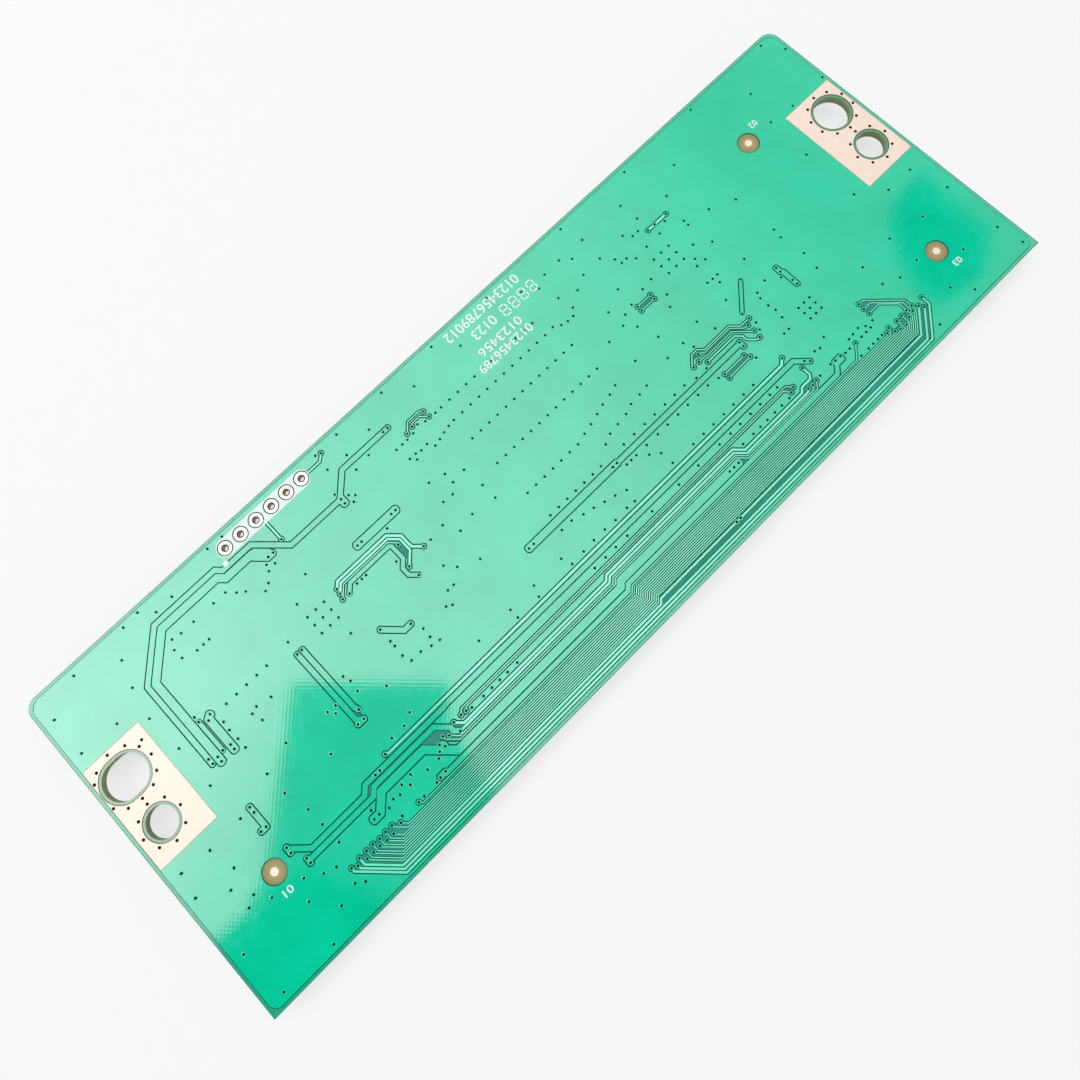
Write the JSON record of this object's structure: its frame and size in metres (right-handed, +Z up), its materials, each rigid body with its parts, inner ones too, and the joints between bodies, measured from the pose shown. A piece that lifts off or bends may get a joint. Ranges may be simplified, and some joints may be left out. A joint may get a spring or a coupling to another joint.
{
  "type": "timing controller board",
  "caption": "Thin rectangular green circuit board with routed copper on its bare back, gold mounting lands at both ends and flat cable connectors beneath.",
  "frame": {"origin": "under the middle of the board, on the level of the connectors it rests on", "axes": "X along the board, Y across it towards the edge with the header holes, Z up out of the bare back side"},
  "size_m": [0.133, 0.0472, 0.0034],
  "materials": {
    "laminate": "woven glass and epoxy, cut edge",
    "bare_mask": "green mask on bare laminate",
    "front_mask": "green mask",
    "coated_copper": "copper under green mask",
    "gold_finish": "thin gold over nickel",
    "via_ink": "dark filled via",
    "white_ink": "printed white",
    "pale_nylon": "moulded, pale",
    "shell_steel": "drawn sheet",
    "contact_gold": "stamped and plated",
    "tinned_metal": "matt tin",
    "black_moulding": "moulded black",
    "ferrite": "sintered ferrite",
    "copper_wire": "lacquered wire",
    "white_ceramic": "fired ceramic",
    "tan_ceramic": "fired ceramic",
    "resistor_black": "black overglaze"
  },
  "bodies": {
    "root": {"laminate": "laminate", "back_mask": "bare_mask", "front_mask": "front_mask", "ground_pour": "coated_copper", "power_tracks": "coated_copper", "signal_tracks": "coated_copper", "bus_tracks": "coated_copper", "chassis_lands": "gold_finish", "chassis_land_vias": "via_ink", "via_plugs": "via_ink", "fiducials": "gold_finish", "header_barrels": "gold_finish", "header_marking": "white_ink", "front_lands": "gold_finish", "input_housing": "pale_nylon", "input_shell": "shell_steel", "input_contacts": "contact_gold", "left_output_housing": "pale_nylon", "right_output_housing": "pale_nylon", "left_output_contacts": "contact_gold", "right_output_contacts": "contact_gold", "output_hold_downs": "tinned_metal", "controller_body": "black_moulding", "controller_leads": "tinned_metal", "power_converter": "black_moulding", "level_shifter": "black_moulding", "gamma_buffer": "black_moulding", "memory_bodies": "black_moulding", "memory_leads": "tinned_metal", "inductor_shields": "ferrite", "inductor_cores": "ferrite", "inductor_windings": "copper_wire", "inductor_terminals": "tinned_metal", "diode_bodies": "black_moulding", "diode_tabs": "tinned_metal", "transistor_bodies": "black_moulding", "transistor_leads": "tinned_metal", "chip_fuse": "white_ceramic", "crystal_base": "white_ceramic", "crystal_lid": "tinned_metal", "bulk_capacitors": "tan_ceramic", "filter_capacitors": "tan_ceramic", "decoupling_capacitors": "tan_ceramic", "chip_resistors": "resistor_black", "resistor_arrays": "resistor_black", "chip_end_caps": "tinned_metal"}
  },
  "joints": []
}
